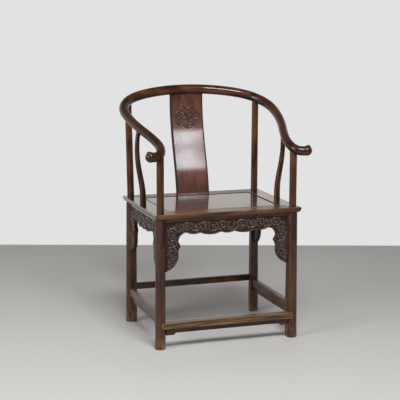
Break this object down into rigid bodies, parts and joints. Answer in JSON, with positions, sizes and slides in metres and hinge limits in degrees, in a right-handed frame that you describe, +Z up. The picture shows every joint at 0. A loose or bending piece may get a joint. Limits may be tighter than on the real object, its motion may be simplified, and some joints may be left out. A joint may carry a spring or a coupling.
{
  "type": "horseshoe back armchair",
  "caption": "Free-standing hardwood armchair with a continuous horseshoe crest rail, curved back splat, floating seat panel, carved aprons and stepped stretchers.",
  "frame": {"origin": "on the floor, under the middle of the whole chair's bounding box", "axes": "+Z up; the chair faces -Y; +X is to the right for someone who faces the chair"},
  "size_m": [0.6632, 0.5766, 0.9597],
  "materials": {
    "dark_hardwood": "dark red-brown hardwood, hand rubbed to a satin gloss",
    "carved_hardwood": "the same hardwood, carved in low relief, duller in the hollows",
    "splat_hardwood": "figured red-brown hardwood, polished",
    "seat_board": "wide hardwood board, polished by use",
    "worn_hardwood": "hardwood worn pale by feet"
  },
  "bodies": {
    "root": {"back_splat": "splat_hardwood", "crest_centre": "dark_hardwood", "crest_scarf_keys": "dark_hardwood", "crest_side_left": "dark_hardwood", "crest_side_right": "dark_hardwood", "footrest": "worn_hardwood", "footrest_apron": "dark_hardwood", "front_apron": "carved_hardwood", "front_leg_left": "dark_hardwood", "front_leg_right": "dark_hardwood", "front_spandrel_left": "carved_hardwood", "front_spandrel_right": "carved_hardwood", "handgrip_left": "dark_hardwood", "handgrip_right": "dark_hardwood", "rear_apron": "dark_hardwood", "rear_leg_left": "dark_hardwood", "rear_leg_right": "dark_hardwood", "rear_stretcher": "dark_hardwood", "seat_batten_left": "dark_hardwood", "seat_batten_right": "dark_hardwood", "seat_panel": "seat_board", "seat_rail_front": "dark_hardwood", "seat_rail_left": "dark_hardwood", "seat_rail_rear": "dark_hardwood", "seat_rail_right": "dark_hardwood", "side_apron_left": "carved_hardwood", "side_apron_right": "carved_hardwood", "side_post_left": "dark_hardwood", "side_post_right": "dark_hardwood", "side_spandrel_front_left": "carved_hardwood", "side_spandrel_front_right": "carved_hardwood", "side_spandrel_rear_left": "carved_hardwood", "side_spandrel_rear_right": "carved_hardwood", "side_stretcher_apron_left": "dark_hardwood", "side_stretcher_apron_right": "dark_hardwood", "side_stretcher_left": "dark_hardwood", "side_stretcher_right": "dark_hardwood"}
  },
  "joints": []
}
